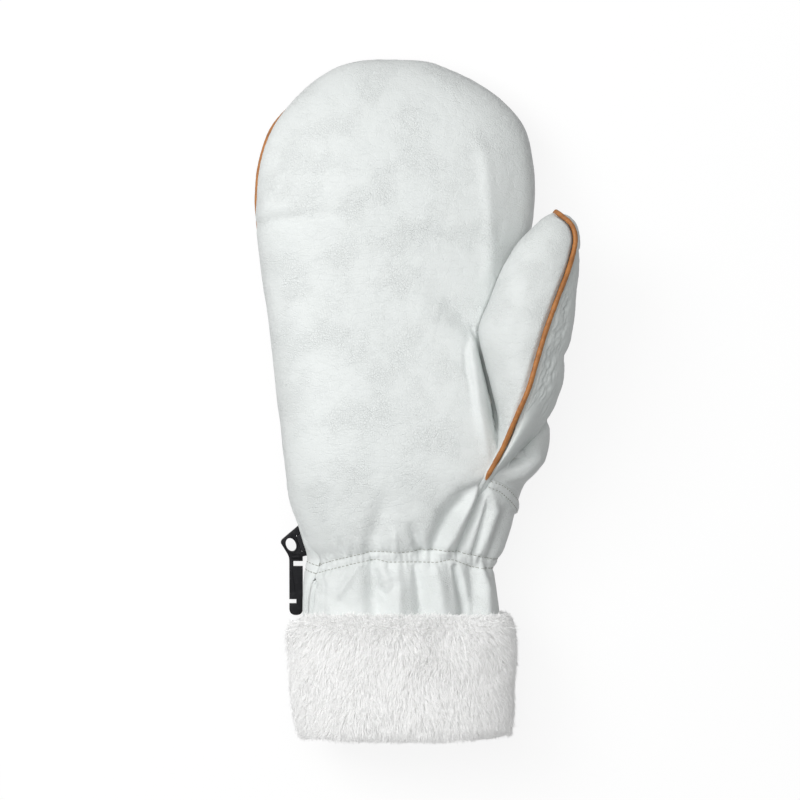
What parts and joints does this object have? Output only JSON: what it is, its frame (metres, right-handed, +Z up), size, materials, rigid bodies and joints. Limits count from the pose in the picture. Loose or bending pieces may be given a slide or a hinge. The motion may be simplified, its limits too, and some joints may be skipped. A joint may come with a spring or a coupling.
{
  "type": "fleece-lined leather mitten",
  "caption": "Right-hand leather mitten with a fleece lining, a piped thumb and side seam, a gathered wrist, a fur cuff and a hanging clip on an elastic loop.",
  "frame": {"origin": "on the surface that the mitten lies on, under the middle of its bounding box", "axes": "+Y from the cuff to the fingertips, +X towards the thumb, +Z up out of the palm"},
  "size_m": [0.1486, 0.3106, 0.0669],
  "materials": {
    "leather": "soft matt, fine grain",
    "thumb_leather": "soft matt, fine grain",
    "piping": "satin, tan",
    "fleece": "curly pile",
    "fur": "short plush fur",
    "plastic": "moulded satin",
    "elastic": "woven"
  },
  "bodies": {
    "root": {"palm_panel": "leather", "back_panel": "leather", "thumb_front_panel": "leather", "thumb_back_panel": "thumb_leather", "hand_piping": "piping", "thumb_piping": "piping", "thumb_seam_band": "leather", "fleece_lining": "fleece", "fur_cuff": "fur", "clip": "plastic", "clip_loop": "elastic"}
  },
  "joints": []
}
